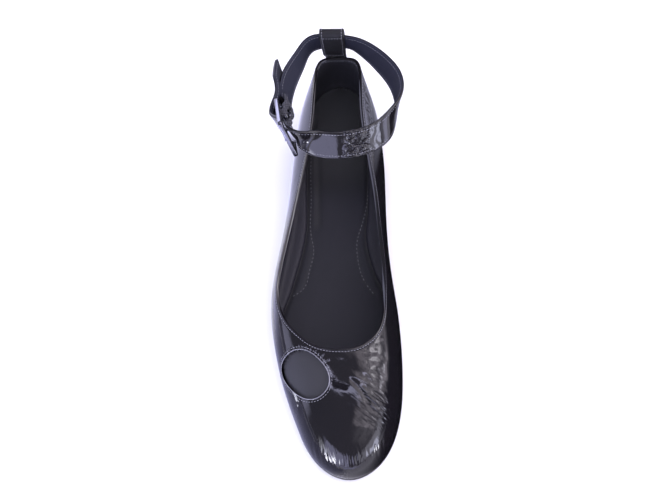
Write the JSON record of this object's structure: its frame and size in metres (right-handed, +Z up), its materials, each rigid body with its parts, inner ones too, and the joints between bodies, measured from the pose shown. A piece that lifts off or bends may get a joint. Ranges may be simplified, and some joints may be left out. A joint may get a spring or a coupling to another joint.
{
  "type": "ballet flat",
  "caption": "Right black patent ballet flat with a round vamp cut-out and a buckled ankle strap held by a heel tab.",
  "frame": {"origin": "on the floor, under the middle of the whole shoe's bounding box", "axes": "+Z up, +Y towards the heel, -Y towards the toe, +X medial (the inner side of a right shoe), -X lateral (the buckle side)"},
  "size_m": [0.0798, 0.2593, 0.1017],
  "materials": {
    "patent_leather": "black patent, mirror gloss",
    "strap_leather": "black patent, gloss",
    "sock_lining": "matte lining",
    "sole_rubber": "satin",
    "elastic_web": "woven",
    "black_nickel": "polished black nickel"
  },
  "bodies": {
    "root": {"outsole": "sole_rubber", "heel": "sole_rubber", "insole": "sock_lining", "upper": "patent_leather", "heel_tab": "strap_leather", "ankle_strap": "strap_leather", "strap_elastic": "elastic_web", "buckle_frame": "black_nickel", "buckle_prong": "black_nickel"}
  },
  "joints": []
}
